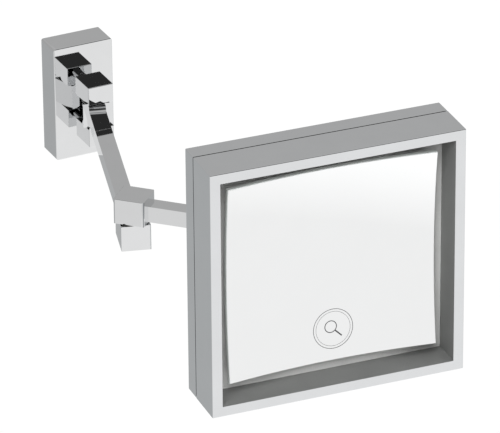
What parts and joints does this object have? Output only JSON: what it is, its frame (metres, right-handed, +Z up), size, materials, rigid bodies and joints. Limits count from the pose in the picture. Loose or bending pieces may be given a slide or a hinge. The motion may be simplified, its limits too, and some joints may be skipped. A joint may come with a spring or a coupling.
{
  "type": "extendable shaving mirror",
  "caption": "Wall-mounted square magnifying mirror on a two-link swivelling arm, with a polished chrome frame, square arm tubes and block hinges.",
  "frame": {"origin": "centre of the wall plate's flat back face, on the wall", "axes": "+Z up, +Y into the wall, so the mirror stands out to -Y; +X to the right as seen from the room"},
  "size_m": [0.2084, 0.3886, 0.198],
  "materials": {
    "chrome": "mirror polished chrome plate",
    "chrome_head": "polished chrome plate on moulded ABS",
    "tray_grey": "fine satin moulded plastic",
    "mirror_silver": "silvered glass, polished",
    "foam": "closed-cell foam",
    "gasket": "matt black rubber",
    "steel": "ground steel",
    "zinc_steel": "zinc-plated pressed steel",
    "black_steel": "blackened screw steel",
    "bronze": "sintered bronze",
    "nylon": "natural nylon"
  },
  "bodies": {
    "wall_mount": {"wall_bracket": "zinc_steel", "wall_plate_cover": "chrome", "cover_grub_screw": "black_steel", "cover_stiffener": "zinc_steel", "hinge_bolts": "black_steel", "hinge_bracket": "chrome", "wall_hinge_pin": "steel", "wall_pin_plug": "chrome", "wall_hinge_washers": "nylon"},
    "first_arm": {"arm_1_wall_knuckle": "chrome", "wall_hinge_bush": "bronze", "arm_1_tube": "chrome", "arm_1_elbow_block": "chrome", "arm_1_roll_pins": "steel", "elbow_bush": "bronze", "elbow_cap": "chrome", "elbow_thrust_washer": "nylon"},
    "second_arm": {"arm_2_elbow_block": "chrome", "elbow_pin": "steel", "elbow_disc_spring": "black_steel", "elbow_retaining_washer": "steel", "elbow_retaining_screw": "black_steel", "arm_2_tube": "chrome", "arm_2_head_eye": "chrome", "arm_2_roll_pins": "steel", "head_eye_bush": "bronze"},
    "head_swivel_block": {"swivel_block": "chrome", "swivel_pin": "steel", "swivel_circlip": "black_steel", "swivel_washers": "nylon", "tilt_washers": "nylon", "tilt_bush": "bronze"},
    "mirror_head": {"tilt_bracket": "chrome", "tilt_pin": "steel", "tilt_circlip": "black_steel", "bracket_screws": "black_steel", "rear_shell": "chrome_head", "shell_screws": "black_steel", "seam_gasket": "gasket", "front_frame": "chrome_head", "mirror_tray": "tray_grey", "tray_screws": "black_steel", "mirror_pads": "foam", "mirror_glass": "mirror_silver"}
  },
  "joints": [
    {"name": "wall_swivel", "type": "hinge", "parent": "wall_mount", "child": "first_arm", "pos_m": [0, -0.044, 0], "axis": [0, 0, 1], "range_deg": [-68.5, 101.5]},
    {"name": "elbow_swivel", "type": "hinge", "parent": "first_arm", "child": "second_arm", "pos_m": [-0.04605, -0.21705, 0], "axis": [0, 0, 1], "range_deg": [-151, 48]},
    {"name": "head_swivel", "type": "hinge", "parent": "second_arm", "child": "head_swivel_block", "pos_m": [0.04767, -0.31142, 0.0027], "axis": [0, 0, 1], "range_deg": [-36, 134]},
    {"name": "head_tilt", "type": "hinge", "parent": "head_swivel_block", "child": "mirror_head", "pos_m": [0.04668, -0.32488, 0.0027], "axis": [0.9973, -0.0732, 0], "range_deg": [-25, 25]}
  ]
}
